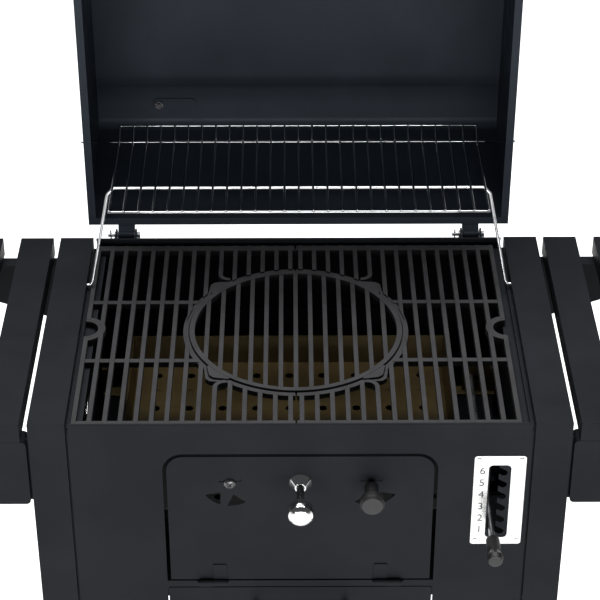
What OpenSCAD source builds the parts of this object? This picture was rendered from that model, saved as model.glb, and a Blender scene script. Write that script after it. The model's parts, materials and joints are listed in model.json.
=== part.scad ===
// Charcoal grill cart with a hinged lid, a linked warming rack, slatted side shelves
// and a height-adjustable coal pan.
// Millimetres, +Z up, +X to the right of a person standing in front, front towards -Y.
// Modules measure y from the front face of the firebox and z from the floor; place() moves
// them to the part's origin, which is the bottom centre of the whole object.

/* [Overall] */
// Height of the working surface above the floor
top_h = 850; // [780:5:900]
// Width of the firebox bay between the two side frames
bay_w = 597.6; // [590:0.2:604]
// Depth of the cart, front face to rear face
depth = 453; // [446:1:460]

/* [Side frames and shelves] */
// Width of a side frame's strip
strip_w = 47.6; // [46:0.2:49]
// Depth of a leg
leg_d = 28; // [24:1:34]
// Width of one shelf slat
slat_w = 47.6; // [40:0.2:50]
// Gap between two shelf slats
slat_gap = 26; // [16:0.5:30]
// Gap between a side frame and its first slat
shelf_gap = 10.2; // [8:0.2:14]
// Height of a slat's U profile
slat_h = 28; // [20:1:32]
// Height of the shelf's front apron
apron_h = 100; // [80:5:120]
// Thickness of the formed sheet
sheet = 1.5; // [1.2:0.1:2]

/* [Firebox] */
// Height of the firebox walls
box_h = 330; // [328:1:336]
// Half width of the door opening
door_half = 177.5; // [170:0.5:180]
// Depth of the door's upper edge below the working surface
door_top = 51.8; // [50:0.2:56]
// Distance between two lever notches
notch_pitch = 19.4; // [18:0.1:20]

/* [Grate] */
// Pitch of the grate's bars
bar_pitch = 19.8; // [19:0.1:20]
// Width of a bar
bar_w = 6; // [5:0.5:7]
// Outer radius of the round insert
insert_r = 145; // [140:1:146]

/* [Lid and rack] */
// Height of the lid above its rim
lid_h = 210; // [200:1:220]
// Width of the lid
lid_w = 614; // [612:1:618]
// Depth of the lid's sloping front
lid_slope = 150; // [100:5:180]
// Spacing of the warming rack's wires
wire_pitch = 20; // [18:1:20]

/* [Coal pan and wheels] */
// Width of the coal pan at its rim
pan_w = 464; // [440:2:466]
// Wheel radius
wheel_r = 90; // [80:1:100]

/* [Hidden] */
$fn = 48;

eps = 0.3;
powder = "dimgray";
iron = "gray";
bright = "silver";

half_bay = bay_w / 2;
slats = 3;
frame_out = half_bay + strip_w;
slat_step = slat_w + slat_gap;
shelf_x = frame_out + shelf_gap;
shelf_out = shelf_x + slats * slat_step - slat_gap;
wall_x = half_bay - 4;
wall_t = 1.2;
wall_top = top_h - 12;
seam_reach = 3.7;
box_low = top_h - box_h;

// lid hinge, four pivots of the rack linkage (a parallelogram) and the lid's own outline
hinge_y = 468;
hinge_z = top_h - 5;
rack_dy = 57;
rack_dz = 124;
link_run = 134;
leg_pivot_y = hinge_y - link_run;
rack_y = hinge_y + rack_dy;
rack_z = hinge_z + rack_dz;
bar_y = rack_y - link_run;
rim_z = top_h + 0.5;
lid_back = depth + 0.5;
lid_lean = 52.5;
lid_t = 1.2;
lid_top = rim_z + lid_h;
bolt_head = 2.5;
open_back = hinge_y + lid_top - hinge_z + bolt_head;

rack_close_y = hinge_y - rack_dz;
rack_close_z = hinge_z + rack_dy;
rack_half = 260;
wire_r = 1.5;
leaf_x0 = 240;
leaf_w = 24;
ear_t = 2.5;
lid_vent_x = -212;
lid_vent_y = 363.6;
handle_half = 165;
post_len = 45;
handle_z = top_h + 132;
handle_y = lid_slope * 131.5 / lid_h - (post_len + 0.6) / cos(atan2(lid_slope, lid_h));

// front hardware
knob_reach = 73;
front_y = -(open_back - knob_reach) / 2;
vent_x = 91.3;
vent_z = top_h - 95;
vent_r = 37;
vent_angles = [-14, 40];
door_low = top_h - 258;
door_axis_y = -4;
door_axis_z = door_low - 2;
door_gap = 5;
door_d = 14;

// ladder slot and lever
channel_x = 250;
lever_r = 4;
top_notch_z = top_h - 72.2;
lever_z = top_notch_z - 5 * notch_pitch;
notch_slope = 30;
notch_h = 9.4;
lever_shift = 14;

// grate and insert
grate_cx = -5;
grate_half = 287.5;
grate_top = top_h - 8;
grate_h = 10;
grate_y0 = 8;
grate_y1 = 443;
bars = 15;
insert_y = 229;
seat_r = insert_r + 1.5;
rim_w = 7;
bend_bar = 9;
bend_r = 13;
bend_y = 92;

// coal pan
pan_cx = -14;
pan_rim_z = top_h - 158;
pan_floor_z = top_h - 196;
pan_back = 430;
pan_front = 26;
pan_lean = 16;
pan_t = 1.2;
guide_ys = [112, 343];

// ash drawer
drawer_half = 168;
drawer_low = top_h - 322;

// running gear
axle_r = 6;
axle_z = wheel_r;
axle_x = -(half_bay + strip_w / 2);
wheel_t = 32;
rail_z = 180;
rail_s = 25;

// ---------- helpers ----------
module place() {
  translate([0, front_y, 0]) children();
}

// the lid is drawn closed and turned open about its hinge
module opened() {
  translate([0, hinge_y, hinge_z])
    rotate([-90, 0, 0])
      translate([0, -hinge_y, -hinge_z]) children();
}

// a yz outline extruded along x from x0 to x1
module wall_yz(x0, x1) {
  translate([x0, 0, 0])
    rotate([90, 0, 90])
      linear_extrude(height = x1 - x0) children();
}

// an xz outline extruded along +y from y0 to y1
module wall_xz(y0, y1) {
  translate([0, y1, 0])
    rotate([90, 0, 0])
      linear_extrude(height = y1 - y0) children();
}

module rod_x(x0, x1, y, z, r) {
  translate([x0, y, z])
    rotate([0, 90, 0]) cylinder(h = x1 - x0, r = r);
}

module rod_y(y0, y1, x, z, r) {
  translate([x, y1, z])
    rotate([90, 0, 0]) cylinder(h = y1 - y0, r = r);
}

// straight wire between two points
module wire(a, b, r) {
  v = b - a;
  len = norm(v);
  translate(a)
    rotate([0, acos(v[2] / len), atan2(v[1], v[0])])
      cylinder(h = len, r = r, $fn = 20);
}

// bent wire through a list of points, its bends upset slightly thicker than the wire
module bent_wire(points, r) {
  for (i = [1 : len(points) - 1]) wire(points[i - 1], points[i], r);
  for (p = points) translate(p) sphere(r = r + 0.2, $fn = 20);
}

module both_sides() {
  children();
  mirror([1, 0, 0]) children();
}

// rectangle with rounded corners, made of true arcs
module rounded(x0, x1, z0, z1, r) {
  translate([x0 + r, z0]) square([x1 - x0 - 2 * r, z1 - z0]);
  translate([x0, z0 + r]) square([x1 - x0, z1 - z0 - 2 * r]);
  for (x = [x0 + r, x1 - r], z = [z0 + r, z1 - r]) translate([x, z]) circle(r = r);
}

// rectangle with only its two upper corners rounded
module arched(x0, x1, z0, z1, r) {
  rounded(x0, x1, z0, z1, r);
  translate([x0, z0]) square([x1 - x0, r + 1]);
}

// points of an arc that rounds corner b of the path a-b-c
function unit(v) = v / norm(v);
function corner(a, b, c, r, n = 6) =
  let (u = unit(a - b), v = unit(c - b), half = acos(u * v) / 2,
       m = b + unit(u + v) * r / sin(half), s = b + u * r / tan(half),
       e = b + v * r / tan(half), t0 = atan2(s[1] - m[1], s[0] - m[0]),
       t1 = atan2(e[1] - m[1], e[0] - m[0]), turn = t1 - t0,
       sweep = turn > 180 ? turn - 360 : (turn < -180 ? turn + 360 : turn))
  [for (i = [0 : n]) m + r * [cos(t0 + sweep * i / n), sin(t0 + sweep * i / n)]];

// ---------- side frames ----------
// one strip bent to an inverted U, with flanges turned inwards
module side_frame(x0, low) {
  high = top_h - low;
  difference() {
    translate([x0, 0, low]) cube([strip_w, depth, high]);
    translate([x0 + sheet, sheet, low - 1]) cube([strip_w - 2 * sheet, depth - 2 * sheet, high + 1 - sheet]);
    translate([x0 - 1, leg_d, low - 1]) cube([strip_w + 2, depth - 2 * leg_d, high + 1 - slat_h]);
    rod_x(-half_bay - sheet - 1, half_bay + sheet + 1, leg_pivot_y, hinge_z, 2.05);
    rod_y(-1, depth + 1, axle_x, axle_z, axle_r);
  }
}

module side_frame_left() {
  place() color(powder) side_frame(-frame_out, axle_z - 24);
}

module side_frame_right() {
  place() color(powder) side_frame(half_bay, 16);
}

// ---------- side shelves ----------
module slat(side, k) {
  x0 = shelf_x + (k - 1) * slat_step;
  place()
    color(powder)
      mirror([side < 0 ? 1 : 0, 0, 0])
        difference() {
          translate([x0, 0, top_h - slat_h]) cube([slat_w, depth, slat_h]);
          translate([x0 + sheet, sheet, top_h - slat_h - 1])
            cube([slat_w - 2 * sheet, depth - 2 * sheet, slat_h + 1 - sheet]);
        }
}

module apron() {
  z1 = top_h - slat_h;
  seam = 3.4;
  x0 = frame_out + seam;
  apron_d = 26;
  difference() {
    wall_xz(0, apron_d) rounded(x0, shelf_out, z1 - apron_h, z1, 6);
    wall_xz(sheet, apron_d + 1) rounded(x0 + sheet, shelf_out - sheet, z1 - apron_h + sheet, z1 - sheet, 5);
  }
  // tab that joins it to the leg behind the seam
  translate([frame_out, 10, z1 - apron_h]) cube([seam + sheet / 2 + 5, sheet, apron_h - 0.5]);
}

module shelf_apron_left() {
  place() color(powder) mirror([1, 0, 0]) apron();
}

module shelf_apron_right() {
  place() color(powder) apron();
}

// tapering bracket under the rear ends of the slats
module bracket() {
  z1 = top_h - slat_h;
  root = 97;
  tip = 22;
  difference() {
    wall_xz(421, 443)
      polygon([[frame_out, z1 - root], [frame_out, z1], [shelf_out, z1], [shelf_out, z1 - tip]]);
    wall_xz(421 + sheet, 444)
      polygon([[frame_out + sheet, z1 - root + 2.4], [frame_out + sheet, z1 - sheet],
        [shelf_out - sheet, z1 - sheet], [shelf_out - sheet, z1 - tip + 1.6]]);
  }
}

module shelf_bracket_left() {
  place() color(powder) mirror([1, 0, 0]) bracket();
}

module shelf_bracket_right() {
  place() color(powder) bracket();
}

// ---------- firebox ----------
module door_hole() {
  arched(-door_half, door_half, door_low - 2.5, top_h - 47.3, 27);
}

// vertical channel with slanting notches for the height lever
module ladder() {
  half = 5.7;
  translate([channel_x - half, lever_z - lever_r - eps])
    square([2 * half, top_notch_z + lever_r + 1.4 - lever_z + lever_r + eps]);
  for (k = [0 : 5])
    translate([channel_x, lever_z + k * notch_pitch])
      rotate(-notch_slope) {
        translate([0, -notch_h / 2]) square([lever_shift, notch_h]);
        translate([lever_shift, 0]) circle(r = notch_h / 2);
      }
}

module firebox_front() {
  place() color(powder) {
    difference() {
      wall_xz(0, sheet) translate([-wall_x, box_low]) square([2 * wall_x, box_h - 2]);
      wall_xz(-1, 3) door_hole();
      wall_xz(-1, 3) ladder();
      wall_xz(-1, 3) rounded(-door_half, door_half, box_low + 4, door_low - 13, 4);
    }
    rod_x(-wall_x, wall_x, 2, top_h - 2, 2);
    // joggled flanges that close the seams to the side frames
    both_sides() {
      translate([wall_x - 0.4, 0.3, box_low]) cube([1.6, sheet - 0.4, box_h - 14]);
      translate([wall_x + 0.1, 0.3, box_low]) cube([1.1, 6, box_h - 14]);
      translate([wall_x + 1, 5, box_low]) cube([seam_reach - 1, 1.3, box_h - 14]);
    }
    // door hinge knuckles
    both_sides()
      difference() {
        union() {
          rod_x(116, 134, door_axis_y, door_axis_z, 4);
          translate([116, door_axis_y, door_axis_z - 8]) cube([18, 5, 6]);
        }
        rod_x(115, 135, door_axis_y, door_axis_z, 2.05);
      }
  }
}

module firebox_back() {
  place() color(powder) {
    translate([-wall_x, depth - wall_t, box_low]) cube([2 * wall_x, wall_t, box_h - 2]);
    rod_x(-wall_x, wall_x, depth - 2, top_h - 2, 2);
    // shallow shelf rib across the inside of the rear wall
    translate([-wall_x + wall_t, depth - 6, top_h - 121]) cube([2 * (wall_x - wall_t), 6 - wall_t, 2]);
  }
}

module firebox_side() {
  // edge folded outwards over the seam to the side frame
  translate([wall_x - wall_t, sheet + 9, wall_top - wall_t])
    cube([wall_t + seam_reach, depth - 2 * sheet - 18, wall_t]);
  difference() {
    translate([wall_x - wall_t, sheet, box_low])
      cube([wall_t, depth - sheet - wall_t, wall_top - box_low]);
    for (y = [leg_d / 2, depth - leg_d / 2], z = [top_h - 60, top_h - 290])
      rod_x(wall_x - 5, wall_x + 5, y, z, 3);
  }
}

module firebox_side_left() {
  place() color(powder) mirror([1, 0, 0]) firebox_side();
}

module firebox_side_right() {
  place() color(powder) firebox_side();
}

// floor of the fire space, open above the ash drawer
module firebox_floor() {
  place()
    color(powder)
      difference() {
        translate([-wall_x + wall_t, sheet, top_h - 264.2])
          cube([2 * (wall_x - wall_t), depth - sheet - wall_t, 1.2]);
        translate([-160, 22, top_h - 270]) cube([320, 352, 10]);
      }
}

module grate_ledge() {
  w = 14;
  z1 = grate_top - grate_h - eps;
  place()
    color(powder)
      difference() {
        translate([-wall_x + wall_t, sheet, z1 - 16])
          cube([2 * (wall_x - wall_t), depth - sheet - wall_t, 16]);
        translate([-wall_x + wall_t + w, sheet + w, z1 - 20])
          cube([2 * (wall_x - wall_t - w), depth - sheet - wall_t - 2 * w, 30]);
        translate([-wall_x + wall_t + sheet, 2 * sheet, z1 - 20])
          cube([2 * (wall_x - wall_t - sheet), depth - 3 * sheet - wall_t, 20 - sheet]);
      }
}

module scale_plate() {
  place()
    color(bright)
      difference() {
        wall_xz(-1, 0) rounded(223.4, 290, top_h - 197, top_h - 51.3, 4);
        wall_xz(-2, 1) rounded(242.2, 271.3, top_h - 186, top_h - 66, 6);
        for (x = [229.5, 283.9], z = [top_h - 57.5, top_h - 190.8]) rod_y(-2, 1, x, z, 2);
      }
}

// pairs of upright bars on the side walls that guide the pan carrier
module pan_guides() {
  place() color(powder) {
    for (y = guide_ys, dy = [-9.5, 3.5])
      translate([wall_x - wall_t - 7.5, y + dy, top_h - 236]) cube([7.5, 6, 176]);
    for (y = guide_ys, dy = [-9.5, 3.5])
      translate([-wall_x + wall_t, y + dy, top_h - 236]) cube([7.5, 6, 176]);
  }
}

module drawer_runners() {
  place()
    color(powder)
      both_sides() {
        translate([150, sheet, drawer_low - 1.8]) cube([24, depth - sheet - wall_t, 1.5]);
        translate([drawer_half + 3, sheet, drawer_low - 1.8]) cube([1.5, depth - sheet - wall_t, 59.6]);
      }
}

// bolts and spacer sleeves that hang the firebox between the side frames
module frame_bolts() {
  place()
    color(bright)
      both_sides()
        for (y = [leg_d / 2, depth - leg_d / 2], z = [top_h - 60, top_h - 290]) {
          rod_x(wall_x - wall_t - 3, wall_x - wall_t, y, z, 6);
          rod_x(wall_x - wall_t, half_bay, y, z, 3);
          difference() {
            rod_x(wall_x, half_bay, y, z, 7);
            rod_x(wall_x - 1, half_bay + 1, y, z, 3);
          }
        }
}

module stretchers() {
  place()
    color(powder)
      for (y = [2, depth - 2 - rail_s])
        difference() {
          translate([-half_bay, y, rail_z]) cube([bay_w, rail_s, rail_s]);
          translate([-half_bay - 1, y + 1.5, rail_z + 1.5]) cube([bay_w + 2, rail_s - 3, rail_s - 3]);
        }
}

// wire shelf on the two stretchers
module bottom_shelf() {
  r = 2.5;
  z = rail_z + rail_s + r;
  place() color(powder) {
    for (i = [-11 : 11]) rod_y(6, depth - 6, i * 25, z, r);
    for (y = [40, depth / 2, depth - 40]) rod_x(-284, 284, y, z + r, 3);
  }
}

// ---------- wheels, axle and feet ----------
module wheel_axle() {
  place() color(bright) {
    rod_y(-wheel_t - 9, depth + wheel_t + 9, axle_x, axle_z, axle_r);
    rod_y(-wheel_t - 9, -wheel_t - 5, axle_x, axle_z, 11);
    rod_y(depth + wheel_t + 5, depth + wheel_t + 9, axle_x, axle_z, 11);
  }
}

// disc wheel turned about its axle: tread, dished web and hub
module wheel(y0) {
  bore = axle_r + 0.05;
  translate([axle_x, y0 + wheel_t, axle_z])
    rotate([90, 0, 0])
      difference() {
        rotate_extrude($fn = 96)
          polygon([[bore, 0], [18, 0], [18, 9], [68, 9], [72, 2], [wheel_r - 4, 1], [wheel_r, 5],
            [wheel_r, wheel_t - 5], [wheel_r - 4, wheel_t - 1], [72, wheel_t - 2], [68, wheel_t - 9],
            [18, wheel_t - 9], [18, wheel_t], [bore, wheel_t]]);
        for (a = [0 : 60 : 300])
          rotate(a) translate([44, 0, -1]) cylinder(h = wheel_t + 2, r = 14);
      }
}

module wheel_front() {
  place() color("black") wheel(-wheel_t - 4);
}

module wheel_rear() {
  place() color("black") wheel(depth + 4);
}

module leg_feet() {
  place()
    color("black")
      for (y = [0, depth - leg_d]) {
        translate([half_bay - 1, y - 1, 0]) cube([strip_w + 2, leg_d + 2, 16]);
      }
}

// ---------- grate ----------
module bar(x, y0, y1) {
  translate([x - bar_w / 2, y0, grate_top - grate_h]) cube([bar_w, y1 - y0, grate_h]);
}

module disc(r, z0, z1) {
  translate([grate_cx, insert_y, z0]) cylinder(h = z1 - z0, r = r, $fn = 120);
}

// one half of the grate, drawn for the left side
module grate_half_piece() {
  z0 = grate_top - grate_h;
  x_out = grate_cx - grate_half;
  x_in = grate_cx - 1.2;
  thirds = (grate_y1 - grate_y0 - 12) / 3;
  difference() {
    union() {
      for (k = [0 : bars - 1]) {
        x = x_out + bar_w / 2 + k * bar_pitch;
        if (k == bend_bar) {
          bar(x, grate_y0, bend_y);
          bar(x, 2 * insert_y - bend_y, grate_y1);
        } else {
          bar(x, grate_y0, grate_y1);
        }
      }
      for (k = [0, 3]) translate([x_out, grate_y0 + k * thirds, z0]) cube([x_in - x_out, 12, grate_h - 0.6]);
      for (k = [1, 2])
        translate([x_out, grate_y0 + 2 + k * thirds, z0]) cube([x_in - x_out, 8, grate_h - 1.5]);
    }
    disc(seat_r + 4, z0 - 1, grate_top + 1);
    lug_pockets(z0 + 3.4);
    translate([x_out, insert_y, z0 - 1]) cylinder(h = grate_h + 2, r = 23);
  }
  // bars beside the lugs bend round into the seat's rim
  bend_x = x_out + bar_w / 2 + bend_bar * bar_pitch + bend_r;
  for (front = [true, false])
    difference() {
      intersection() {
        translate([bend_x, front ? bend_y : 2 * insert_y - bend_y, z0])
          cylinder(h = grate_h, r = bend_r + bar_w / 2);
        translate([bend_x - 30, front ? bend_y - 0.1 : 2 * insert_y - bend_y - 29.9, z0])
          cube([31, 30, grate_h]);
      }
      translate([bend_x, front ? bend_y : 2 * insert_y - bend_y, z0 - 1])
        cylinder(h = grate_h + 2, r = bend_r - bar_w / 2);
    }
  // half-round finger notch in the outer edge
  difference() {
    translate([x_out, insert_y, z0]) cylinder(h = grate_h - 0.4, r = 28);
    translate([x_out, insert_y, z0 - 1]) cylinder(h = grate_h + 2, r = 18);
    translate([x_out - 40, insert_y - 40, z0 - 1]) cube([40, 80, grate_h + 2]);
  }
  // seat for the round insert: low rim wall and ledge, with gaps for the insert's lugs
  difference() {
    union() {
      disc(seat_r + rim_w, z0, grate_top - 2.5);
      for (a = [135, 225]) translate([grate_cx, insert_y, z0]) rotate(a) lug_shape(7, grate_h - 3);
    }
    disc(seat_r, z0 + 3.4, grate_top + 1);
    disc(insert_r - 6, z0 - 1, grate_top);
    lug_pockets(z0 + 3.4);
    translate([x_in, 0, z0 - 1]) cube([300, depth, grate_h + 2]);
  }
}

// triangular lug outside the insert's ring
module lug_shape(grow, high) {
  linear_extrude(height = high)
    polygon([[insert_r - 8, -22 - grow], [insert_r + 2, -20 - grow], [insert_r + 13 + grow, -4],
      [insert_r + 13 + grow, 4], [insert_r + 2, 20 + grow], [insert_r - 8, 22 + grow]]);
}

module lug_pockets(z) {
  for (a = [135, 225]) translate([grate_cx, insert_y, z]) rotate(a) lug_shape(1.5, grate_h);
}

module grate_left() {
  place() color(iron) grate_half_piece();
}

module grate_right() {
  place() color(iron) translate([2 * grate_cx, 0, 0]) mirror([1, 0, 0]) grate_half_piece();
}

// removable ring insert that stands on the seat
module round_insert() {
  z0 = grate_top - grate_h + 3.4 + eps;
  place()
    color(iron)
      union() {
        difference() {
          disc(insert_r, z0, grate_top);
          disc(insert_r - rim_w, z0 - 1, grate_top + 1);
        }
        intersection() {
          union() {
            for (k = [-6 : 6])
              translate([grate_cx + k * 20.1 - bar_w / 2, 0, z0]) cube([bar_w, depth, grate_top - z0 - 0.4]);
          }
          disc(insert_r - 1, z0, grate_top);
        }
        difference() {
          for (a = [45 : 90 : 315])
            translate([grate_cx, insert_y, z0]) rotate(a) lug_shape(0, grate_top - z0 - 0.4);
          disc(insert_r - 5, z0 - 1, grate_top + 1);
        }
      }
}

// ---------- lid hinges ----------
function side_x(x, left) = left ? -x - leaf_w : x;

module hinge_brackets() {
  place()
    color(powder)
      for (left = [true, false]) {
        x0 = side_x(leaf_x0, left);
        difference() {
          union() {
            for (x = [x0 - 1 - ear_t, x0 + leaf_w + 1])
              wall_yz(x, x + ear_t)
                polygon([[depth, top_h - 70], [depth, top_h - 8], [460, top_h + 1], [466, top_h + 5],
                  [470, top_h + 5], [476, top_h - 2], [476, top_h - 14], [458, top_h - 64]]);
            translate([x0 - 1 - ear_t, depth, top_h - 70]) cube([leaf_w + 2 + 2 * ear_t, 2, 52]);
          }
          rod_x(x0 - 10, x0 + leaf_w + 10, hinge_y, hinge_z, 2.55);
        }
      }
}

// leaf with a knuckle, drawn for the closed lid
module lid_leaves() {
  lean = lid_lean / lid_h;
  back0 = lid_back - lean * 2;
  back1 = lid_back - lean * 52;
  place()
    color(powder)
      opened()
        for (left = [true, false]) {
          x0 = side_x(leaf_x0, left);
          difference() {
            union() {
              wall_yz(x0, x0 + leaf_w)
                polygon([[back0, rim_z + 2], [back1, rim_z + 52], [back1 + 3, rim_z + 52],
                  [457, rim_z + 14], [473, hinge_z + 3], [466, hinge_z - 1]]);
              rod_x(x0, x0 + leaf_w, hinge_y, hinge_z, 6);
            }
            rod_x(x0 - 1, x0 + leaf_w + 1, hinge_y, hinge_z, 2.5);
          }
        }
}

// headed pins pressed in the leaves, turning in the bracket ears, with split cotters
module lid_pins() {
  place()
    color(bright)
      for (left = [true, false]) {
        x0 = side_x(leaf_x0, left);
        rod_x(x0 - 15, x0 + leaf_w + 8, hinge_y, hinge_z, 2.5);
        rod_x(x0 + leaf_w + 4.2, x0 + leaf_w + 8, hinge_y, hinge_z, 4.5);
        rod_x(x0 - 5.4, x0 - 3.9, hinge_y, hinge_z, 5.5);
        translate([x0 - 11, hinge_y, hinge_z - 8]) cylinder(h = 16, r = 1.1, $fn = 20);
      }
}

// ---------- lid ----------
function lid_outline(t) = let (
  side = atan2(lid_lean, lid_h), front = atan2(lid_slope, lid_h),
  rear_low = [lid_back - t / cos(side), rim_z],
  rear_top = [lid_back - lid_lean - t * (1 / cos(side) - tan(side)), lid_top - t],
  front_top = [lid_slope + t * (1 / cos(front) - tan(front)), lid_top - t],
  front_low = [t / cos(front), rim_z])
  concat([rear_low], corner(rear_low, rear_top, front_top, 18 - t),
    corner(rear_top, front_top, front_low, 40 - t), [front_low]);

module lid_shell() {
  lip = 11;
  place()
    color(powder)
      opened()
        difference() {
          wall_yz(-lid_w / 2, lid_w / 2) polygon(lid_outline(0));
          difference() {
            wall_yz(-lid_w / 2 + lid_t, lid_w / 2 - lid_t) polygon(lid_outline(lid_t));
            translate([-lid_w / 2, 0, rim_z]) cube([lid_w, depth, lid_t]);
          }
          translate([-lid_w / 2 + lip, lip, rim_z - 1])
            cube([lid_w - 2 * lip, lid_back - 2 * lip, lid_t + 2]);
          rod_x(-lid_w, lid_w, rack_close_y, rack_close_z, 2.05);
          translate([lid_vent_x, lid_vent_y, lid_top - 5]) cylinder(h = 10, r = 3.05);
          for (dx = [20, 42]) translate([lid_vent_x + dx, lid_vent_y, lid_top - 5]) cylinder(h = 10, r = 7);
        }
}

module lid_vent_bolt() {
  place()
    color(bright)
      opened()
        translate([lid_vent_x, lid_vent_y, lid_top - lid_t]) {
          translate([0, 0, -5]) cylinder(h = 2.2, r = 6.5);
          translate([0, 0, -5]) cylinder(h = 7, r = 3);
          translate([0, 0, lid_t]) cylinder(h = bolt_head, r = 7);
        }
}

// pill-shaped shutter that turns on the bolt inside the lid's top
module lid_vent_shutter() {
  place()
    color(powder)
      opened()
        translate([lid_vent_x, lid_vent_y, lid_top - lid_t - 2.2])
          difference() {
            union() {
              cylinder(h = 1.6, r = 10);
              translate([0, -10, 0]) cube([48, 20, 1.6]);
              translate([48, 0, 0]) cylinder(h = 1.6, r = 10);
            }
            translate([0, 0, -1]) cylinder(h = 4, r = 3.05);
          }
}

module lid_handle_tube() {
  place()
    color(bright)
      opened()
        difference() {
          rod_x(-handle_half, handle_half, handle_y, handle_z, 11);
          rod_x(-handle_half - 1, handle_half + 1, handle_y, handle_z, 9.5);
        }
}

module lid_handle_posts() {
  front = atan2(lid_slope, lid_h);
  place()
    color("black")
      opened()
        for (x = [-130, 130])
          translate([x, handle_y, handle_z])
            rotate([90 - front, 0, 0])
              difference() {
                union() {
                  translate([0, 0, -post_len]) cylinder(h = post_len, r = 9);
                  rotate([0, 90, 0]) cylinder(h = 26, r = 13.5, center = true);
                }
                rotate([0, 90, 0]) cylinder(h = 40, r = 11, center = true);
              }
}

// ---------- warming rack ----------
// bail of the rack: bar under the rack and two legs hooked into the side frames
module rack_legs() {
  r = 2;
  top_x = 268;
  foot_x = 290.5;
  hook_x = foot_x + 3;
  place()
    color(bright) {
      rod_x(-top_x + 8, top_x - 8, bar_y, rack_z, r);
      both_sides() {
        bent_wire([[top_x - 8, bar_y, rack_z], [top_x, bar_y - 3.5, rack_z - 8],
          [foot_x, leg_pivot_y + 2.5, hinge_z + 5.5], [hook_x, leg_pivot_y, hinge_z]], r);
        rod_x(hook_x, hook_x + 10, leg_pivot_y, hinge_z, r);
      }
    }
}

module warming_rack() {
  rail_front = bar_y - 68;
  wire_z = rack_z + 4;
  fence_y = rack_y + 18;
  fence_z = rack_z + 17;
  rod_r = 2;
  place() color(bright) {
    // pivot rod in the lid's walls, front rail and fence rail
    rod_x(-lid_w / 2 - 9, lid_w / 2 + 9, rack_y, rack_z, rod_r);
    rod_x(-rack_half - 2, rack_half + 2, rail_front, wire_z - 3, rod_r);
    rod_x(-rack_half - 2, rack_half + 2, fence_y, fence_z, rod_r);
    for (i = [-13 : 13]) {
      x = i * wire_pitch;
      bend = [x, rack_y + 2, wire_z];
      rod_y(rail_front - 3, rack_y + 2, x, wire_z, wire_r);
      wire(bend, [x, fence_y, fence_z + 1.5], wire_r);
      translate(bend) sphere(r = wire_r + 0.2, $fn = 20);
    }
    // welds that carry the wires on the pivot rod
    for (x = [-rack_half, 0, rack_half])
      translate([x - 1, rack_y - 1, rack_z]) cube([2, 2, 3.4]);
    // loops around the bail's bar, open with clearance
    for (x = [-8 * wire_pitch, 8 * wire_pitch])
      difference() {
        rod_x(x - 1, x + 1, bar_y, rack_z, 4.6);
        rod_x(x - 2, x + 2, bar_y, rack_z, 2.4);
      }
  }
}

// ---------- fire door ----------
function sector(r0, r1, a0, a1, n = 6) = concat(
  [for (i = [0 : n]) r1 * [sin(a0 + (a1 - a0) * i / n), -cos(a0 + (a1 - a0) * i / n)]],
  [r0 * [sin((a0 + a1) / 2), -cos((a0 + a1) / 2)]]);

// sector-shaped air hole that points at the vent's spindle
module air_hole(side) {
  translate([side * vent_x, vent_z])
    for (a = vent_angles) polygon(sector(19, vent_r, side * a - 20, side * a + 20));
}

module fire_door() {
  x1 = door_half - door_gap;
  z1 = top_h - door_top;
  place()
    color(powder)
      difference() {
        wall_xz(0, door_d) arched(-x1, x1, door_low, z1, 22);
        wall_xz(sheet, door_d + 1) arched(-x1 + sheet, x1 - sheet, door_low + sheet, z1 - sheet, 20.5);
        for (s = [-1, 1]) {
          rod_y(-1, 3, s * vent_x, vent_z, 4.05);
          wall_xz(-1, 3) air_hole(s);
          // thin curved slits beside the spindle
          for (t = [-1, 1])
            wall_xz(-1, 3)
              translate([s * vent_x + t * 10, vent_z + 3]) {
                translate([-4, 0]) square([8, 0.9]);
                translate([t * 4, 0.4]) rotate(t * 55) square([3, 0.9]);
              }
        }
      }
}

module door_leaves() {
  place()
    color(powder)
      both_sides() {
        difference() {
          union() {
            rod_x(98, 115.7, door_axis_y, door_axis_z, 4);
            translate([98, -1.5, door_axis_z + 2.5]) cube([17.7, 1.5, 26]);
            translate([98, door_axis_y, door_axis_z + 1]) cube([17.7, 4, 2.5]);
          }
          rod_x(97, 117, door_axis_y, door_axis_z, 2);
        }
        rod_x(96, 137, door_axis_y, door_axis_z, 2);
      }
}

module door_knob_rose() {
  place()
    color(bright)
      translate([0, 0, vent_z])
        rotate([90, 0, 0])
          difference() {
            cylinder(h = 11, r1 = 15, r2 = 7);
            translate([0, 0, -1]) cylinder(h = 13, r = 5);
          }
}

module door_knob_stem() {
  place() color("slategray") rod_y(-46, 0, 0, vent_z, 5);
}

module door_knob() {
  place()
    color(bright)
      translate([0, -44, vent_z])
        rotate([90, 0, 0])
          difference() {
            rotate_extrude()
              polygon([[0, 0], [7, 0], [12, 3], [16, 9], [17, 16], [16, 23], [12, 27], [6, knob_reach - 44],
                [0, knob_reach - 44]]);
            translate([0, 0, -1]) cylinder(h = 3, r = 5);
          }
}

// rotary shutter behind the door with a spindle through it
module shutter(side) {
  difference() {
    wall_xz(sheet + eps, sheet + eps + 1.2) translate([side * vent_x, vent_z]) circle(r = vent_r + 3);
    wall_xz(0, 4)
      translate([side * vent_x, vent_z])
        for (a = vent_angles) polygon(sector(17, vent_r + 1, side * a - 22, side * a + 22));
  }
  rod_y(-1, sheet + eps + 3, side * vent_x, vent_z, 4);
}

module vent_shutter_left() {
  place() color(powder) shutter(-1);
}

module vent_shutter_right() {
  place() color(powder) shutter(1);
}

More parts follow.
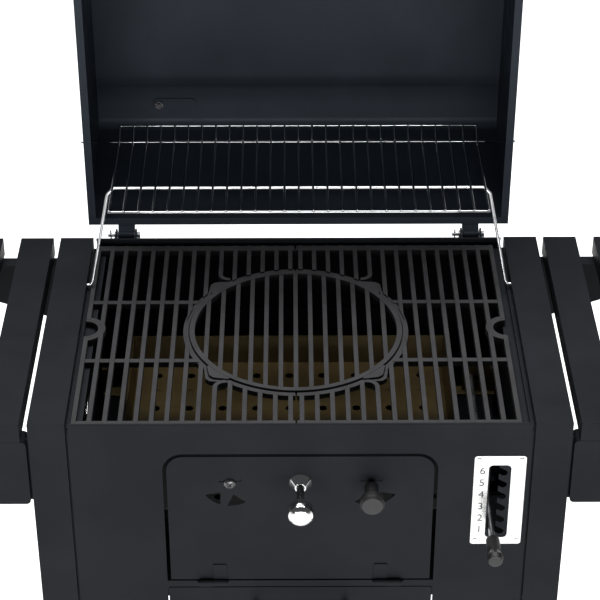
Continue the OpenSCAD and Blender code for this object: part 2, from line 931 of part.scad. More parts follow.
module vent_screw_left() {
  place()
    color(bright)
      translate([-vent_x, -eps, vent_z])
        rotate([90, 0, 0])
          difference() {
            rotate_extrude() polygon([[0, 0], [8, 0], [7.4, 1.6], [5.6, 3.1], [3, 4], [0, 4.3]]);
            for (a = [45, 135]) rotate(a) translate([-4, -0.7, 2.2]) cube([8, 1.4, 4]);
            translate([0, 0, -1]) cylinder(h = 1.7, r = 4);
          }
}

module vent_knob_right() {
  place()
    color("black")
      translate([vent_x, -eps, vent_z])
        rotate([90, 0, 0])
          difference() {
            rotate_extrude()
              polygon([[0, 0], [5.5, 0], [6, 5], [9.5, 9], [9.5, 26], [15, 34], [16, 44], [13, 48], [0, 49]]);
            translate([0, 0, -1]) cylinder(h = 1.7, r = 4);
          }
}

// ---------- coal pan ----------
// block that tapers from its rim to its floor on all four sides
module pan_block(t) {
  x1 = pan_w / 2 - t;
  intersection() {
    wall_yz(pan_cx - x1, pan_cx + x1)
      polygon([[pan_front + t, pan_rim_z + t], [pan_front + pan_lean + t, pan_floor_z + t],
        [pan_back - pan_lean - t, pan_floor_z + t], [pan_back - t, pan_rim_z + t]]);
    wall_xz(0, depth)
      polygon([[pan_cx - x1, pan_rim_z + t], [pan_cx - x1 + 4, pan_floor_z + t],
        [pan_cx + x1 - 4, pan_floor_z + t], [pan_cx + x1, pan_rim_z + t]]);
  }
}

module coal_pan() {
  col = 48.4;
  row = 40.5;
  place()
    color("darkolivegreen")
      difference() {
        pan_block(0);
        pan_block(pan_t);
        for (i = [-4 : 4], j = [0 : 8])
          translate([pan_cx + i * col, 385 - 6 - j * row, pan_floor_z - 2]) cylinder(h = 6, r = 6, $fn = 24);
      }
}

// two crossbars under the pan, with tongues in the guides and slotted tabs for the lever
module pan_carrier() {
  z1 = pan_floor_z;
  place()
    color(powder)
      for (y = guide_ys) {
        translate([-286, y - 10, z1 - 3]) cube([572, 20, 3]);
        for (s = [-1, 1])
          translate([s > 0 ? 278 : -292, y - 3.1, z1 - 3]) cube([14, 6.2, 44]);
        difference() {
          translate([238, y - 1.5, z1 - 1]) cube([40, 3, 46]);
          translate([channel_x, y + 5, lever_z])
            rotate([90, 0, 0])
              rotate(-notch_slope) {
                cylinder(h = 10, r = lever_r + 0.1);
                translate([lever_shift, 0, 0]) cylinder(h = 10, r = lever_r + 0.1);
                translate([0, -lever_r - 0.1, 0]) cube([lever_shift, 2 * lever_r + 0.2, 10]);
              }
        }
      }
}

module height_lever() {
  place() color(bright) {
    rod_y(-30, 352, channel_x, lever_z, lever_r);
    for (y = [guide_ys[0] - 4, guide_ys[1] + 2]) rod_y(y, y + 1.2, channel_x, lever_z, 7);
  }
}

module lever_grip() {
  place()
    color("black")
      translate([channel_x, -24, lever_z])
        rotate([90, 0, 0])
          difference() {
            rotate_extrude()
              polygon([[0, 0], [7, 0], [9, 3], [9, 30], [11, 38], [9, 45], [0, 47]]);
            translate([0, 0, -1]) cylinder(h = 7, r = lever_r);
          }
}

// ---------- ash drawer ----------
module ash_drawer() {
  x1 = door_half - 1.5;
  place() color(powder) {
    difference() {
      translate([-drawer_half, sheet - 0.1, drawer_low]) cube([2 * drawer_half, 378, 48]);
      translate([-drawer_half + 1, sheet + 1, drawer_low + 1]) cube([2 * drawer_half - 2, 375, 60]);
    }
    wall_xz(0, sheet) rounded(-x1, x1, box_low + 5.5, door_low - 14.5, 3);
  }
}

module drawer_handle() {
  z = box_low + 33;
  place()
    color(bright)
      both_sides() {
        rod_y(-30, 0, 60, z, 4);
        translate([60, -30, z]) sphere(r = 4);
        rod_x(0, 60, -30, z, 4);
      }
}

// ---------- one line per sub-part ----------
side_frame_left();
side_frame_right();
slat(-1, 1);  // shelf_slat_l1
slat(-1, 2);  // shelf_slat_l2
slat(-1, 3);  // shelf_slat_l3
slat(1, 1);  // shelf_slat_r1
slat(1, 2);  // shelf_slat_r2
slat(1, 3);  // shelf_slat_r3
shelf_apron_left();
shelf_apron_right();
shelf_bracket_left();
shelf_bracket_right();
firebox_front();
firebox_back();
firebox_side_left();
firebox_side_right();
firebox_floor();
grate_ledge();
scale_plate();
pan_guides();
drawer_runners();
frame_bolts();
stretchers();
bottom_shelf();
wheel_axle();
leg_feet();
hinge_brackets();
grate_left();
grate_right();
lid_shell();
lid_leaves();
lid_pins();
lid_handle_tube();
lid_handle_posts();
lid_vent_bolt();
lid_vent_shutter();
rack_legs();
warming_rack();
round_insert();
fire_door();
door_leaves();
door_knob_rose();
door_knob_stem();
door_knob();
vent_shutter_left();
vent_screw_left();
vent_shutter_right();
vent_knob_right();
coal_pan();
pan_carrier();
height_lever();
lever_grip();
ash_drawer();
drawer_handle();
wheel_front();
wheel_rear();
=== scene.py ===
# Looks of the charcoal grill cart: materials, rounded sheet and casting edges, small
# hardware, a pale floor, soft studio light and the camera. Metres, in the CAD's frame.
import json
import math

import bmesh
import bpy
from mathutils import Matrix, Vector


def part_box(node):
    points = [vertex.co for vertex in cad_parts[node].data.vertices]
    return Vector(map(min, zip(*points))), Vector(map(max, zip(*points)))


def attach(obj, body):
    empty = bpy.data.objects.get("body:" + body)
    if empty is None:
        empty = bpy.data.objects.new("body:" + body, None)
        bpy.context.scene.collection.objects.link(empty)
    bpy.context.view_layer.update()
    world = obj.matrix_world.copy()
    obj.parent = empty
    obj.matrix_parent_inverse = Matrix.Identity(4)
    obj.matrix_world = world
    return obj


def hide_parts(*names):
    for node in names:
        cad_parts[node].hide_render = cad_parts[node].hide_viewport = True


MM = 0.001
# from the rack's pivot forward to the bar of the bail
PIVOT_TO_BAIL = 134 * MM

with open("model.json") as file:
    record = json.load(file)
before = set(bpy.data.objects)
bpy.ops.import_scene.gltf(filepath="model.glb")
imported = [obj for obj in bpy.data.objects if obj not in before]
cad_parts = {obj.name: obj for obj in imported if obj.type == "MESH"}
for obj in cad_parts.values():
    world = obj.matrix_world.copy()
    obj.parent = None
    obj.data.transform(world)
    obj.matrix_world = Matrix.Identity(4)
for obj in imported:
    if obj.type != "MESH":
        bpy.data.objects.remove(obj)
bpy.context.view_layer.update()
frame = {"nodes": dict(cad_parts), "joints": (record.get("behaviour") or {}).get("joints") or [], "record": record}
nodes = frame["nodes"]
bodies = frame["record"]["behaviour"]["bodies"]
body_of = {n: b for b, members in bodies.items() for n in members}
slot_of = {s["node"]: s["material_slot"] for s in frame["record"]["subparts"]}
joint = {j["name"]: j for j in frame["joints"]}

frame_low, frame_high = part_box("side_frame_right")
FACE_Y = frame_low.y
TOP_Z = frame_high.z


# ---------------------------------------------------------------- camera
def make_camera():
    data = bpy.data.cameras.new("camera")
    data.sensor_width = 36.0
    data.lens = 116.7
    data.clip_end = 50.0
    cam = bpy.data.objects.new("camera", data)
    bpy.context.scene.collection.objects.link(cam)
    # the eye stands 1.97 m in front of the firebox's upper front edge and 1.48 m above it
    cam.location = Vector((-0.0116, FACE_Y - 1.9683, TOP_Z + 1.4819))
    turn, down = math.radians(0.323), math.radians(33.317)
    look = Vector(
        (math.sin(turn) * math.cos(down), math.cos(turn) * math.cos(down), -math.sin(down))
    )
    cam.rotation_mode = "QUATERNION"
    cam.rotation_quaternion = look.to_track_quat("-Z", "Y")
    bpy.context.scene.camera = cam
    return cam


# ---------------------------------------------------------------- materials
class Nodes:
    """A small wrapper that builds one procedural material."""

    def __init__(self, name):
        self.material = bpy.data.materials.new(name)
        self.material.use_nodes = True
        self.tree = self.material.node_tree
        self.shader = self.tree.nodes["Principled BSDF"]
        self.coords = self.add("ShaderNodeTexCoord").outputs["Object"]

    def add(self, kind, **values):
        node = self.tree.nodes.new(kind)
        for key, value in values.items():
            setattr(node, key, value)
        return node

    def link(self, a, b):
        self.tree.links.new(a, b)

    def stretched(self, scale):
        mapping = self.add("ShaderNodeMapping")
        mapping.inputs["Scale"].default_value = scale
        self.link(self.coords, mapping.inputs["Vector"])
        return mapping.outputs["Vector"]

    def along_y(self, start, end):
        """0 at start and 1 at end, measured along Y."""
        split = self.add("ShaderNodeSeparateXYZ")
        self.link(self.coords, split.inputs["Vector"])
        return self.span(split.outputs["Y"], 0.0, 1.0, start, end)

    def noise(self, scale, detail=3.0, rough=0.55, vector=None):
        node = self.add("ShaderNodeTexNoise")
        node.inputs["Scale"].default_value = scale
        node.inputs["Detail"].default_value = detail
        node.inputs["Roughness"].default_value = rough
        self.link(vector or self.coords, node.inputs["Vector"])
        return node.outputs["Fac"]

    def cells(self, scale, vector=None):
        node = self.add("ShaderNodeTexVoronoi")
        node.inputs["Scale"].default_value = scale
        self.link(vector or self.coords, node.inputs["Vector"])
        return node.outputs["Distance"]

    def ramp(self, value, stops):
        node = self.add("ShaderNodeValToRGB")
        while len(node.color_ramp.elements) < len(stops):
            node.color_ramp.elements.new(0.5)
        for element, (place, colour) in zip(node.color_ramp.elements, stops):
            element.position = place
            element.color = (*colour, 1.0)
        self.link(value, node.inputs["Fac"])
        return node.outputs["Color"]

    def span(self, value, low, high, from_low=0.3, from_high=0.7):
        node = self.add("ShaderNodeMapRange")
        node.inputs["From Min"].default_value = from_low
        node.inputs["From Max"].default_value = from_high
        node.inputs["To Min"].default_value = low
        node.inputs["To Max"].default_value = high
        self.link(value, node.inputs["Value"])
        return node.outputs["Result"]

    def mix(self, factor, a, b, blend="MIX"):
        node = self.add("ShaderNodeMix", data_type="RGBA", blend_type=blend)
        for socket, value in ((0, factor), (6, a), (7, b)):
            if isinstance(value, (int, float)):
                node.inputs[socket].default_value = value
            elif isinstance(value, tuple):
                node.inputs[socket].default_value = (*value, 1.0)
            else:
                self.link(value, node.inputs[socket])
        return node.outputs[2]

    def bump(self, height, strength, distance, normal=None):
        node = self.add("ShaderNodeBump")
        node.inputs["Strength"].default_value = strength
        node.inputs["Distance"].default_value = distance
        self.link(height, node.inputs["Height"])
        if normal is not None:
            self.link(normal, node.inputs["Normal"])
        return node.outputs["Normal"]

    def set(self, **values):
        names = {
            "colour": "Base Color",
            "rough": "Roughness",
            "metal": "Metallic",
            "normal": "Normal",
            "specular": "Specular IOR Level",
            "coat": "Coat Weight",
            "coat_rough": "Coat Roughness",
            "anisotropic": "Anisotropic",
        }
        for key, value in values.items():
            socket = self.shader.inputs[names[key]]
            if isinstance(value, (int, float)):
                socket.default_value = value
            elif isinstance(value, tuple):
                socket.default_value = (*value, 1.0)
            else:
                self.link(value, socket)
        return self.material


def powder_coat(name, dark, light, rough=(0.42, 0.56), grain=0.35, shine=0.05):
    """Satin powder paint: slight orange peel, fine sparkle, faint cloudiness."""
    n = Nodes(name)
    cloud = n.noise(9.0, 4.0)
    fine = n.noise(2200.0, 2.0, 0.7)
    colour = n.ramp(cloud, [(0.3, dark), (0.72, light)])
    speck = n.span(fine, 0.0, 0.35, 0.55, 0.8)
    colour = n.mix(speck, colour, tuple(min(1.0, 2.6 * c) for c in light))
    peel = n.noise(420.0, 3.0)
    normal = n.bump(peel, 0.16, 0.0004)
    normal = n.bump(fine, grain, 0.00012, normal)
    roughness = n.span(n.noise(35.0, 5.0), *rough)
    return n.set(colour=colour, rough=roughness, normal=normal, specular=shine)


def cast_iron():
    """Matt sand-cast iron: pitted skin, paler rubbed high spots."""
    n = Nodes("cast_iron")
    cloud = n.noise(30.0, 5.0)
    colour = n.ramp(cloud, [(0.3, (0.014, 0.014, 0.0155)), (0.7, (0.025, 0.025, 0.027))])
    specks = n.span(n.noise(900.0, 3.0, 0.8), 0.0, 0.6, 0.6, 0.78)
    colour = n.mix(specks, colour, (0.09, 0.09, 0.098))
    sand = n.noise(1100.0, 4.0, 0.75)
    pits = n.cells(520.0)
    normal = n.bump(sand, 0.5, 0.00035)
    normal = n.bump(pits, 0.25, 0.0003, normal)
    roughness = n.span(n.noise(240.0, 4.0), 0.46, 0.72)
    return n.set(colour=colour, rough=roughness, normal=normal, specular=0.3)


def brushed(name, base, along, rough=(0.2, 0.36), metal=1.0):
    """Brushed stainless sheet: fine streaks along one axis."""
    n = Nodes(name)
    scale = tuple(14.0 if axis == along else 2600.0 for axis in "xyz")
    streak = n.noise(1.0, 4.0, 0.6, n.stretched(scale))
    colour = n.ramp(
        streak, [(0.3, tuple(0.86 * c for c in base)), (0.7, base)]
    )
    smear = n.noise(14.0, 4.0)
    colour = n.mix(n.span(smear, 0.0, 0.16), colour, tuple(0.7 * c for c in base))
    return n.set(
        colour=colour,
        rough=n.span(streak, *rough),
        normal=n.bump(streak, 0.12, 0.00008),
        metal=metal,
    )


def chrome(name, base=(0.8, 0.81, 0.83), rough=(0.04, 0.1)):
    """Plated wire and polished knobs: bright, with faint drawing marks."""
    n = Nodes(name)
    haze = n.noise(70.0, 4.0)
    colour = n.ramp(haze, [(0.3, tuple(0.9 * c for c in base)), (0.7, base)])
    marks = n.noise(1400.0, 3.0, 0.7)
    return n.set(
        colour=colour,
        rough=n.span(haze, *rough),
        normal=n.bump(marks, 0.03, 0.00002),
        metal=1.0,
    )


def zinc_steel():
    """Bright zinc-plated fasteners and rods, slightly spangled."""
    n = Nodes("zinc_steel")
    spangle = n.cells(260.0)
    colour = n.ramp(spangle, [(0.1, (0.3, 0.31, 0.33)), (0.6, (0.47, 0.48, 0.5))])
    return n.set(
        colour=colour,
        rough=n.span(n.noise(180.0, 4.0), 0.26, 0.42),
        normal=n.bump(n.noise(900.0), 0.1, 0.0001),
        metal=1.0,
    )


def passivated_zinc():
    """Olive-brown chromated sheet of the coal pan, mottled, slightly iridescent."""
    n = Nodes("passivated_zinc")
    cloud = n.noise(16.0, 6.0, 0.62)
    colour = n.ramp(
        cloud,
        [
            (0.26, (0.075, 0.05, 0.02)),
            (0.5, (0.14, 0.098, 0.038)),
            (0.74, (0.105, 0.088, 0.045)),
        ],
    )
    grain = n.noise(420.0, 4.0, 0.7)
    colour = n.mix(n.span(grain, 0.0, 0.3), colour, (0.19, 0.145, 0.07))
    # painted shade: the front half, under the fire door, is painted near black as if shaded by the front panel
    pan_low, pan_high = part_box("coal_pan")
    depth = pan_high.y - pan_low.y
    painted_shade_end, unshaded_start = 0.57, 0.67
    unshaded_mask = n.along_y(pan_low.y + painted_shade_end * depth, pan_low.y + unshaded_start * depth)
    # painted shade: near black mixed in over the front part of the pan
    colour = n.mix(unshaded_mask, (0.006, 0.006, 0.006), colour)
    streak = n.noise(1.0, 3.0, 0.5, n.stretched((9.0, 420.0, 60.0)))
    return n.set(
        colour=colour,
        rough=n.span(streak, 0.3, 0.46),
        normal=n.bump(grain, 0.12, 0.00015),
        metal=0.6,
    )


def plastic(name, base, rough=(0.38, 0.52), grain=0.3):
    """Moulded plastic or rubber with a fine eroded grain."""
    n = Nodes(name)
    tone = n.noise(22.0, 3.0)
    colour = n.ramp(tone, [(0.3, tuple(0.8 * c for c in base)), (0.7, tuple(1.2 * c for c in base))])
    skin = n.cells(1300.0)
    return n.set(
        colour=colour,
        rough=n.span(n.noise(120.0), *rough),
        normal=n.bump(skin, grain, 0.0001),
        specular=0.45,
    )


def floor_material():
    n = Nodes("studio_floor")
    tone = n.noise(3.0, 2.0)
    colour = n.ramp(tone, [(0.2, (0.9, 0.9, 0.9)), (0.8, (0.93, 0.93, 0.93))])
    n.shader.inputs["Emission Color"].default_value = (1.0, 1.0, 1.0, 1.0)
    n.shader.inputs["Emission Strength"].default_value = 0.8
    return n.set(colour=colour, rough=n.span(n.noise(40.0), 0.7, 0.85), specular=0.2)


def dark_steel():
    """Blackened screw steel with bright rubbed patches."""
    n = Nodes("dark_steel")
    patches = n.noise(240.0, 4.0)
    colour = n.ramp(patches, [(0.35, (0.03, 0.03, 0.032)), (0.7, (0.2, 0.2, 0.21))])
    return n.set(
        colour=colour,
        rough=n.span(n.noise(300.0), 0.2, 0.4),
        normal=n.bump(n.noise(700.0), 0.15, 0.0001),
        metal=0.9,
    )


MATERIALS = {
    "dark_steel": dark_steel(),
    "powder_coat": powder_coat("powder_coat", (0.0108, 0.0118, 0.0142), (0.0150, 0.0164, 0.0198)),
    "lid_enamel": powder_coat(
        "lid_enamel", (0.018, 0.023, 0.031), (0.026, 0.0325, 0.0435), (0.36, 0.5), 0.4, 0.1
    ),
    "cast_iron": cast_iron(),
    "brushed_steel": brushed("brushed_steel", (0.88, 0.88, 0.87), "x"),
    # painted shade: this chrome gets a dark base so the rack's wires look as dark as their reflections of the hood
    "chrome_wire": chrome("chrome_wire", (0.5, 0.51, 0.53)),
    # painted highlight: a near-white copy of the chrome for the bail, lighter than the rack's wire
    "painted_highlight_wire": chrome("painted_highlight_wire", (0.95, 0.96, 0.98), (0.25, 0.38)),
    "polished_steel": chrome("polished_steel", (0.8, 0.8, 0.8), (0.07, 0.2)),
    "zinc_steel": zinc_steel(),
    "black_plastic": plastic("black_plastic", (0.012, 0.012, 0.013)),
    "passivated_zinc": passivated_zinc(),
    "wheel_plastic": plastic("wheel_plastic", (0.014, 0.014, 0.015), (0.45, 0.6), 0.45),
    "black_wire": powder_coat("black_wire", (0.01, 0.01, 0.0115), (0.015, 0.015, 0.017)),
    "scale_ink": plastic("scale_ink", (0.022, 0.022, 0.024), (0.4, 0.5), 0.1),
}


# ---------------------------------------------------------------- pieces
def finish_piece(obj, body, slot, material=None):
    obj.data.materials.clear()
    obj.data.materials.append(MATERIALS[material or slot])
    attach(obj, body)
    return obj


def piece_from(name, bm, body, slot, material=None, smooth=True):
    mesh = bpy.data.meshes.new(name)
    bmesh.ops.recalc_face_normals(bm, faces=bm.faces)
    for face in bm.faces:
        face.smooth = smooth
    bm.to_mesh(mesh)
    bm.free()
    obj = bpy.data.objects.new(name, mesh)
    bpy.context.scene.collection.objects.link(obj)
    return finish_piece(obj, body, slot, material)


def clean_copy(node):
    """The CAD node's surface as a new mesh, with its flat faces made whole again."""
    bm = bmesh.new()
    bm.from_mesh(nodes[node].data)
    bmesh.ops.remove_doubles(bm, verts=bm.verts, dist=0.00002)
    bmesh.ops.dissolve_limit(
        bm,
        angle_limit=math.radians(0.6),
        verts=bm.verts,
        edges=bm.edges,
        delimit={"NORMAL"},
    )
    return bm


# nodes that show a special finish of their slot
FINISH = {
    "vent_screw_left": "dark_steel",
    "lid_vent_bolt": "dark_steel",
    "door_knob_stem": "dark_steel",
}


def rounded_copy(node, width, segments=3, angle=28):
    """A copy of the node whose sharp edges are rounded by width millimetres."""
    finish = FINISH.get(node, slot_of[node])
    piece = piece_from(node + "_rounded", clean_copy(node), body_of[node], slot_of[node], finish)
    bevel = piece.modifiers.new("edge", "BEVEL")
    bevel.width = width * MM
    bevel.segments = segments
    bevel.limit_method = "ANGLE"
    bevel.angle_limit = math.radians(angle)
    bevel.use_clamp_overlap = True
    bevel.harden_normals = True
    normals = piece.modifiers.new("normals", "WEIGHTED_NORMAL")
    normals.keep_sharp = True
    normals.weight = 60
    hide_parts(node)
    return piece


# ---------------------------------------------------------------- wires
def rounded_path(points, bend, steps=6):
    """The polyline with its corners turned into arcs of radius bend."""
    points = [Vector(p) for p in points]
    path = [points[0]]
    for a, b, c in zip(points, points[1:], points[2:]):
        u, v = (a - b).normalized(), (c - b).normalized()
        half = u.angle(v) / 2
        run = min(bend / math.tan(half), 0.45 * (a - b).length, 0.45 * (c - b).length)
        radius = run * math.tan(half)
        middle = b + (u + v).normalized() * radius / math.sin(half)
        start, end = b + u * run - middle, b + v * run - middle
        sweep = start.angle(end)
        for i in range(steps + 1):
            t = i / steps
            arc = (start * math.sin((1 - t) * sweep) + end * math.sin(t * sweep)) / math.sin(sweep)
            path.append(middle + arc)
    path.append(points[-1])
    return path


def add_tube(bm, points, radius, bend=0.0, sides=14):
    """A round wire with softened ends, swept along the path."""
    path = rounded_path(points, bend) if bend and len(points) > 2 else [Vector(p) for p in points]
    first = (path[1] - path[0]).normalized()
    last = (path[-1] - path[-2]).normalized()
    soft = 0.45 * radius
    rings = [(path[0], radius - soft), (path[0] + first * soft * 0.35, radius - soft * 0.3)]
    rings += [(path[0] + first * soft, radius)] + [(p, radius) for p in path[1:-1]]
    rings += [(path[-1] - last * soft, radius), (path[-1] - last * soft * 0.35, radius - soft * 0.3)]
    rings += [(path[-1], radius - soft)]
    tangents = [first, first, first]
    for a, b, c in zip(path, path[1:], path[2:]):
        tangents.append(((b - a).normalized() + (c - b).normalized()).normalized())
    tangents += [last, last, last]
    side = first.orthogonal().normalized()
    loops = []
    for (centre, r), along in zip(rings, tangents):
        side = (side - along * side.dot(along)).normalized()
        other = along.cross(side)
        loops.append([
            bm.verts.new(centre + (side * math.cos(a) + other * math.sin(a)) * r)
            for a in (2 * math.pi * k / sides for k in range(sides))
        ])
    for one, two in zip(loops, loops[1:]):
        for k in range(sides):
            bm.faces.new((one[k], one[(k + 1) % sides], two[(k + 1) % sides], two[k]))
    bm.faces.new(loops[0][::-1])
    bm.faces.new(loops[-1])


def add_ring(bm, centre, axis, ring_radius, wire_radius, sides=28, around=10):
    """A closed loop of wire."""
    axis = Vector(axis).normalized()
    u = axis.orthogonal().normalized()
    v = axis.cross(u)
    loops = []
    for i in range(sides):
        a = 2 * math.pi * i / sides
        out = u * math.cos(a) + v * math.sin(a)
        middle = Vector(centre) + out * ring_radius
        loops.append([
            bm.verts.new(middle + (out * math.cos(b) + axis * math.sin(b)) * wire_radius)
            for b in (2 * math.pi * k / around for k in range(around))
        ])
    for i in range(sides):
        one, two = loops[i], loops[(i + 1) % sides]
        for k in range(around):
            bm.faces.new((one[k], one[(k + 1) % around], two[(k + 1) % around], two[k]))


def rack_wires():
    """The warming rack as bent and welded wire."""
    low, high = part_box("warming_rack")
    pivot = Vector(joint["rack_pivot"]["pos_m"])
    wire_r, rod_r = 1.5 * MM, 2.0 * MM
    pitch, half = 20 * MM, 262 * MM
    wire_z = pivot.z + 4 * MM
    fence_y = pivot.y + 18 * MM
    fence_z = pivot.z + 17 * MM
    bm = bmesh.new()
    add_tube(bm, [(low.x, pivot.y, pivot.z), (high.x, pivot.y, pivot.z)], rod_r)
    front_y, front_z = low.y + 3 * MM, wire_z - 3 * MM
    add_tube(bm, [(-half, front_y, front_z), (half, front_y, front_z)], rod_r)
    add_tube(bm, [(-half, fence_y, fence_z), (half, fence_y, fence_z)], rod_r)
    for i in range(-13, 14):
        x = i * pitch
        add_tube(
            bm,
            [(x, low.y, wire_z), (x, pivot.y + 2 * MM, wire_z), (x, fence_y, fence_z + 1.5 * MM)],
            wire_r,
            4 * MM,
        )
        # flattened weld where the wire crosses the front rail
        weld_z = wire_z - 0.9 * MM
        add_tube(bm, [(x, front_y - 2.4 * MM, weld_z), (x, front_y + 2.4 * MM, weld_z)], 1.1 * MM)
    bar_y = joint["rack_pivot"]["pos_m"][1] - PIVOT_TO_BAIL
    for x in (-8 * pitch, 8 * pitch):
        add_ring(bm, (x, bar_y, pivot.z), (1, 0, 0), 3.5 * MM, 1.0 * MM)
    for x in (-13 * pitch, 0.0, 13 * pitch):
        add_tube(bm, [(x, pivot.y, pivot.z + 1 * MM), (x, pivot.y, wire_z)], 1.4 * MM)
    wires = piece_from("warming_rack_wires", bm, body_of["warming_rack"], slot_of["warming_rack"])
    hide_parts("warming_rack")


def rack_bail():
    """The bent wire under the rack, hooked into the side frames."""
    foot = Vector(joint["bail_hinge"]["pos_m"])
    rack = Vector(joint["rack_pivot"]["pos_m"])
    bar_y, bar_z, r = rack.y - PIVOT_TO_BAIL, rack.z, 2 * MM
    top_x, foot_x = 268 * MM, 290.5 * MM
    path = [(foot_x + 13 * MM, foot.y, foot.z), (foot_x + 3 * MM, foot.y, foot.z)]
    path += [(foot_x, foot.y + 2.5 * MM, foot.z + 5.5 * MM), (top_x, bar_y - 3.5 * MM, bar_z - 8 * MM)]
    path += [(top_x - 8 * MM, bar_y, bar_z)]
    both = path + [(-x, y, z) for x, y, z in reversed(path)]
    bm = bmesh.new()
    add_tube(bm, both, r, 5 * MM)
    # painted highlight: the bail gets the near-white copy of the chrome
    bail = piece_from("rack_bail_wire", bm, body_of["rack_legs"], slot_of["rack_legs"], "painted_highlight_wire")
    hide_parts("rack_legs")


# ---------------------------------------------------------------- small details
def add_dome(bm, centre, normal, radius, height, sides=24, steps=5):
    """A low domed head lying on a face."""
    normal = Vector(normal).normalized()
    u = normal.orthogonal().normalized()
    v = normal.cross(u)
    loops = []
    for i in range(steps):
        a = 0.5 * math.pi * i / steps
        loops.append([
            bm.verts.new(
                Vector(centre) + (u * math.cos(t) + v * math.sin(t)) * radius * math.cos(a)
                + normal * height * math.sin(a)
            )
            for t in (2 * math.pi * k / sides for k in range(sides))
        ])
    top = bm.verts.new(Vector(centre) + normal * height)
    for one, two in zip(loops, loops[1:]):
        for k in range(sides):
            bm.faces.new((one[k], one[(k + 1) % sides], two[(k + 1) % sides], two[k]))
    for k in range(sides):
        bm.faces.new((loops[-1][k], loops[-1][(k + 1) % sides], top))
    bm.faces.new(loops[0][::-1])


def plate_rivets():
    low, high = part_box("scale_plate")
    inset = 6.1 * MM
    bm = bmesh.new()
    for x in (low.x + inset, high.x - inset):
        for z in (low.z + 6.2 * MM, high.z - 6.2 * MM):
            add_dome(bm, (x, low.y + 0.2 * MM, z), (0, -1, 0), 3.4 * MM, 1.6 * MM)
    piece_from("plate_rivets", bm, body_of["scale_plate"], "polished_steel")


def plate_digits():
    """Printed position numbers, 6 at the top to 1 at the bottom."""
    low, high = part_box("scale_plate")
    top = high.z - 24.3 * MM
    x = low.x + 10.9 * MM
    bm = bmesh.new()
    for k in range(6):
        curve = bpy.data.curves.new("digit", "FONT")
        curve.body = str(6 - k)
        curve.size = 15.5 * MM
        curve.align_x = "CENTER"
        curve.align_y = "CENTER"
        curve.extrude = 0.05 * MM
        curve.resolution_u = 5
        holder = bpy.data.objects.new("digit", curve)
        bpy.context.scene.collection.objects.link(holder)
        bpy.context.view_layer.update()
        mesh = bpy.data.meshes.new_from_object(holder)
        mesh.transform(
            Matrix.Translation((x, low.y - 0.05 * MM, top - k * 19.4 * MM))
            @ Matrix.Rotation(math.radians(90), 4, "X")
        )
        bm.from_mesh(mesh)
        bpy.data.objects.remove(holder)
        bpy.data.meshes.remove(mesh)
    piece_from("plate_digits", bm, body_of["scale_plate"], "black_plastic", "scale_ink", smooth=False)


def sheet_folds():
    """Rolled sheet edges: thin beads where the sheet metal is turned over."""
    bm = bmesh.new()
    low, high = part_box("coal_pan")
    bead = 1.2 * MM
    ring = [(low.x, low.y), (high.x, low.y), (high.x, high.y), (low.x, high.y)]
    for (ax, ay), (bx, by) in zip(ring, ring[1:] + ring[:1]):
        add_tube(bm, [(ax, ay, high.z - bead), (bx, by, high.z - bead)], bead)
    piece_from("pan_rim_bead", bm, body_of["coal_pan"], slot_of["coal_pan"])


def hairpin_clip():
    """Bent wire clip on the inside of the left wall."""
    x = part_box("firebox_side_left")[1].x + 3 * MM
    y0, z0 = FACE_Y + 160 * MM, TOP_Z - 108 * MM
    bm = bmesh.new()
    add_tube(
        bm,
        [
            (x - 4 * MM, y0, z0),
            (x, y0 + 4 * MM, z0 + 3 * MM),
            (x, y0 + 36 * MM, z0 + 12 * MM),
            (x, y0 + 36 * MM, z0 + 2 * MM),
            (x - 4 * MM, y0 + 14 * MM, z0 - 4 * MM),
        ],
        1.1 * MM,
        2.5 * MM,
    )
    piece_from("wall_clip", bm, body_of["firebox_side_left"], "polished_steel")


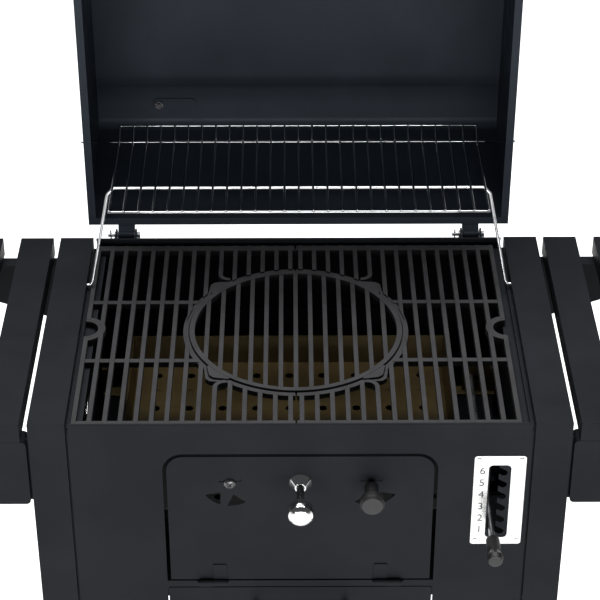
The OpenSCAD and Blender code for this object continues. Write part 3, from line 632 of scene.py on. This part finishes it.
# nodes whose real edges are visibly round, with the radius in millimetres
ROUND_EDGES = {
    "side_frame_left": 1.4,
    "side_frame_right": 1.4,
    "shelf_apron_left": 0.7,
    "shelf_apron_right": 0.7,
    "shelf_bracket_left": 0.6,
    "shelf_bracket_right": 0.6,
    "firebox_front": 0.35,
    "fire_door": 0.7,
    "scale_plate": 0.25,
    "grate_left": 1.5,
    "grate_right": 1.5,
    "round_insert": 1.4,
    "hinge_brackets": 0.5,
    "lid_leaves": 0.8,
    "lid_shell": 0.5,
    "lid_vent_shutter": 0.4,
    "coal_pan": 0.4,
    "pan_carrier": 0.5,
    "ash_drawer": 0.4,
    "stretchers": 1.2,
    "leg_feet": 2.0,
    "wheel_front": 1.2,
    "wheel_rear": 1.2,
    "vent_knob_right": 0.8,
    "vent_screw_left": 0.25,
    "door_knob": 0.8,
    "door_knob_rose": 0.6,
    "lever_grip": 0.8,
    "lid_handle_posts": 0.8,
    "door_leaves": 0.4,
}


def round_the_edges():
    for node, width in ROUND_EDGES.items():
        rounded_copy(node, width)
    for node in nodes:
        if node.startswith("shelf_slat"):
            rounded_copy(node, 1.4)


def keep_cad_nodes():
    """CAD nodes that stay as they are get their slot's material."""
    for name, obj in nodes.items():
        obj.data.materials.clear()
        obj.data.materials.append(MATERIALS[FINISH.get(name, slot_of[name])])


# ---------------------------------------------------------------- stage and light
def make_stage():
    bm = bmesh.new()
    bmesh.ops.create_grid(bm, x_segments=2, y_segments=2, size=30.0)
    mesh = bpy.data.meshes.new("studio_floor")
    bm.to_mesh(mesh)
    bm.free()
    floor = bpy.data.objects.new("studio_floor", mesh)
    bpy.context.scene.collection.objects.link(floor)
    floor.data.materials.append(floor_material())


def area_light(name, place, target, size, power):
    data = bpy.data.lights.new(name, "AREA")
    data.shape = "RECTANGLE"
    data.size, data.size_y = size
    data.energy = power
    light = bpy.data.objects.new(name, data)
    bpy.context.scene.collection.objects.link(light)
    light.location = place
    light.rotation_mode = "QUATERNION"
    light.rotation_quaternion = (Vector(target) - Vector(place)).to_track_quat("-Z", "Y")


def make_light():
    world = bpy.data.worlds.new("studio")
    bpy.context.scene.world = world
    world.use_nodes = True
    background = world.node_tree.nodes["Background"]
    background.inputs["Color"].default_value = (0.93, 0.96, 1.0, 1.0)
    background.inputs["Strength"].default_value = 0.07
    work = (0.0, 0.1, TOP_Z)
    area_light("overhead", (0.0, 0.6, 3.4), work, (3.2, 1.6), 142)
    area_light("front_box", (0.0, -5.0, 0.9), (0.0, 0.0, 0.95), (5.0, 0.7), 160)


make_camera()
make_stage()
make_light()
keep_cad_nodes()
round_the_edges()
rack_wires()
rack_bail()
plate_rivets()
plate_digits()
sheet_folds()
hairpin_clip()

bpy.context.scene.view_settings.view_transform = "Standard"
